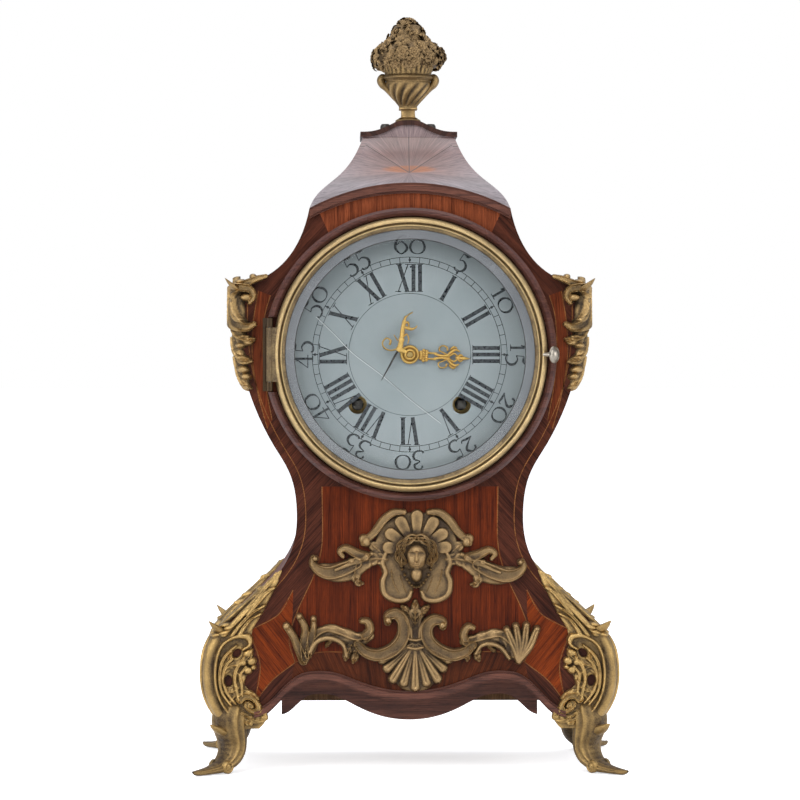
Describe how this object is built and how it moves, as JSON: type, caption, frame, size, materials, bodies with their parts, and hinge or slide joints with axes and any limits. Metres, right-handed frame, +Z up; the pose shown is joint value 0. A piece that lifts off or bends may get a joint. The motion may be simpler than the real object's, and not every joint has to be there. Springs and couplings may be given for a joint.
{
  "type": "mantel clock",
  "caption": "Waisted veneered mantel clock on gilt feet, with a bell roof, flower finial, enamel dial behind a hinged glazed bezel, striking movement and pendulum.",
  "frame": {"origin": "on the floor under the middle of the case, centred between the feet", "axes": "+X to the right seen from the front, the dial faces -Y, +Z up"},
  "size_m": [0.2894, 0.1642, 0.5128],
  "materials": {
    "front_veneer": "french polished veneer",
    "side_veneer": "french polished veneer",
    "moulding_wood": "polished dark wood",
    "carcase_wood": "plain planed wood",
    "gilt": "gilt bronze, worn and darkened in the hollows",
    "brass": "polished brass",
    "bell_metal": "turned bell metal",
    "steel": "polished steel",
    "knob_metal": "worn silvered metal",
    "enamel": "white vitreous enamel on copper",
    "glass": "clear, with a bevelled edge"
  },
  "bodies": {
    "case": {"front_panel": "front_veneer", "side_left": "side_veneer", "side_right": "side_veneer", "roof": "side_veneer", "top_cap": "side_veneer", "cornice_moulding": "moulding_wood", "apron_moulding": "moulding_wood", "apron_board": "moulding_wood", "dial_surround": "moulding_wood", "back_frame": "carcase_wood", "case_floor": "carcase_wood", "seat_board": "carcase_wood", "seat_rails": "carcase_wood", "foot_front_left": "gilt", "foot_front_right": "gilt", "foot_back_left": "gilt", "foot_back_right": "gilt", "shoulder_mount_left": "gilt", "shoulder_mount_right": "gilt", "mask_mount": "gilt", "apron_mount": "gilt", "finial_urn": "gilt", "finial_flowers": "gilt", "bezel_hinge_leaf": "brass", "back_hinge_leaves": "brass", "front_plate": "brass", "back_plate": "brass", "plate_pillars": "brass", "back_cock": "brass", "bell_stand": "brass", "bell": "bell_metal", "hinge_pins": "steel", "seat_screws": "steel", "cap_screws": "steel", "dial": "enamel"},
    "bezel": {"bezel_ring": "gilt", "bezel_glass": "glass", "bezel_knob": "knob_metal"},
    "back_door": {"back_door": "carcase_wood", "back_door_leaves": "brass", "back_door_knob": "brass"},
    "centre": {"centre_wheel": "brass"},
    "minute": {"cannon_pinion": "brass", "minute_hand": "gilt"},
    "intermediate": {"intermediate_wheel": "brass"},
    "going_barrel": {"going_barrel": "brass"},
    "third": {"third_wheel": "brass"},
    "escape": {"escape_wheel": "brass"},
    "motion": {"minute_wheel": "brass"},
    "hour": {"hour_wheel": "brass", "hour_hand": "gilt"},
    "going_arbor": {"going_winding_arbor": "steel"},
    "strike_arbor": {"strike_winding_arbor": "steel"},
    "strike_barrel": {"strike_barrel": "brass"},
    "pin_wheel": {"pin_wheel": "brass"},
    "strike_third": {"strike_third_wheel": "brass"},
    "fly": {"fly": "brass"},
    "pendulum": {"pendulum": "brass"},
    "pallets": {"pallet_anchor": "steel"},
    "hammer": {"hammer": "steel"}
  },
  "joints": [
    {"name": "bezel_hinge", "type": "hinge", "parent": "case", "child": "bezel", "pos_m": [-0.0936, -0.071, 0.2795], "axis": [0, 0, -1], "range_deg": [0, 110]},
    {"name": "back_door_hinge", "type": "hinge", "parent": "case", "child": "back_door", "pos_m": [0.0563, 0.0644, 0.246], "axis": [0, 0, -1], "range_deg": [0, 110]},
    {"name": "centre_turn", "type": "hinge", "parent": "case", "child": "centre", "pos_m": [0, -0.01, 0.2795], "axis": [0, 1, 0], "continuous": true},
    {"name": "minute_turn", "type": "hinge", "parent": "case", "child": "minute", "pos_m": [0, -0.01, 0.2795], "axis": [0, 1, 0], "continuous": true},
    {"name": "hour_turn", "type": "hinge", "parent": "case", "child": "hour", "pos_m": [0, -0.01, 0.2795], "axis": [0, 1, 0], "continuous": true},
    {"name": "intermediate_turn", "type": "hinge", "parent": "case", "child": "intermediate", "pos_m": [0.0236, -0.01, 0.2764], "axis": [0, 1, 0], "continuous": true},
    {"name": "going_barrel_turn", "type": "hinge", "parent": "case", "child": "going_barrel", "pos_m": [0.0348, -0.01, 0.2459], "axis": [0, 1, 0], "continuous": true},
    {"name": "going_arbor_turn", "type": "hinge", "parent": "case", "child": "going_arbor", "pos_m": [0.0348, -0.01, 0.2459], "axis": [0, 1, 0], "continuous": true},
    {"name": "strike_barrel_turn", "type": "hinge", "parent": "case", "child": "strike_barrel", "pos_m": [-0.0348, -0.01, 0.2459], "axis": [0, 1, 0], "continuous": true},
    {"name": "strike_arbor_turn", "type": "hinge", "parent": "case", "child": "strike_arbor", "pos_m": [-0.0348, -0.01, 0.2459], "axis": [0, 1, 0], "continuous": true},
    {"name": "third_turn", "type": "hinge", "parent": "case", "child": "third", "pos_m": [0, -0.01, 0.2999], "axis": [0, 1, 0], "continuous": true},
    {"name": "escape_turn", "type": "hinge", "parent": "case", "child": "escape", "pos_m": [0, -0.01, 0.3159], "axis": [0, 1, 0], "continuous": true},
    {"name": "motion_turn", "type": "hinge", "parent": "case", "child": "motion", "pos_m": [0, -0.01, 0.2603], "axis": [0, 1, 0], "continuous": true},
    {"name": "pin_wheel_turn", "type": "hinge", "parent": "case", "child": "pin_wheel", "pos_m": [-0.0236, -0.01, 0.2764], "axis": [0, 1, 0], "continuous": true},
    {"name": "strike_third_turn", "type": "hinge", "parent": "case", "child": "strike_third", "pos_m": [-0.0306, -0.01, 0.2956], "axis": [0, 1, 0], "continuous": true},
    {"name": "fly_turn", "type": "hinge", "parent": "case", "child": "fly", "pos_m": [-0.022, -0.01, 0.3066], "axis": [0, 1, 0], "continuous": true},
    {"name": "pendulum_swing", "type": "hinge", "parent": "case", "child": "pendulum", "pos_m": [0, 0.029, 0.3301], "axis": [0, 1, 0], "range_deg": [-2.5, 2.5]},
    {"name": "pallets_rock", "type": "hinge", "parent": "case", "child": "pallets", "pos_m": [0, -0.01, 0.3301], "axis": [0, 1, 0], "range_deg": [-2.5, 2.5]},
    {"name": "hammer_lift", "type": "hinge", "parent": "case", "child": "hammer", "pos_m": [0.044, -0.015, 0.3255], "axis": [0, 1, 0], "range_deg": [0, 15]}
  ],
  "couplings": [
    {"joint": "minute_turn", "follows": "centre_turn", "ratio": 1},
    {"joint": "motion_turn", "follows": "centre_turn", "ratio": -0.33333},
    {"joint": "hour_turn", "follows": "centre_turn", "ratio": 0.083333},
    {"joint": "intermediate_turn", "follows": "centre_turn", "ratio": -0.125},
    {"joint": "going_barrel_turn", "follows": "centre_turn", "ratio": 0.015625},
    {"joint": "third_turn", "follows": "centre_turn", "ratio": -12},
    {"joint": "escape_turn", "follows": "centre_turn", "ratio": 132},
    {"joint": "pin_wheel_turn", "follows": "strike_barrel_turn", "ratio": -8},
    {"joint": "strike_third_turn", "follows": "strike_barrel_turn", "ratio": 64},
    {"joint": "fly_turn", "follows": "strike_barrel_turn", "ratio": -448},
    {"joint": "pallets_rock", "follows": "pendulum_swing", "ratio": 1}
  ]
}
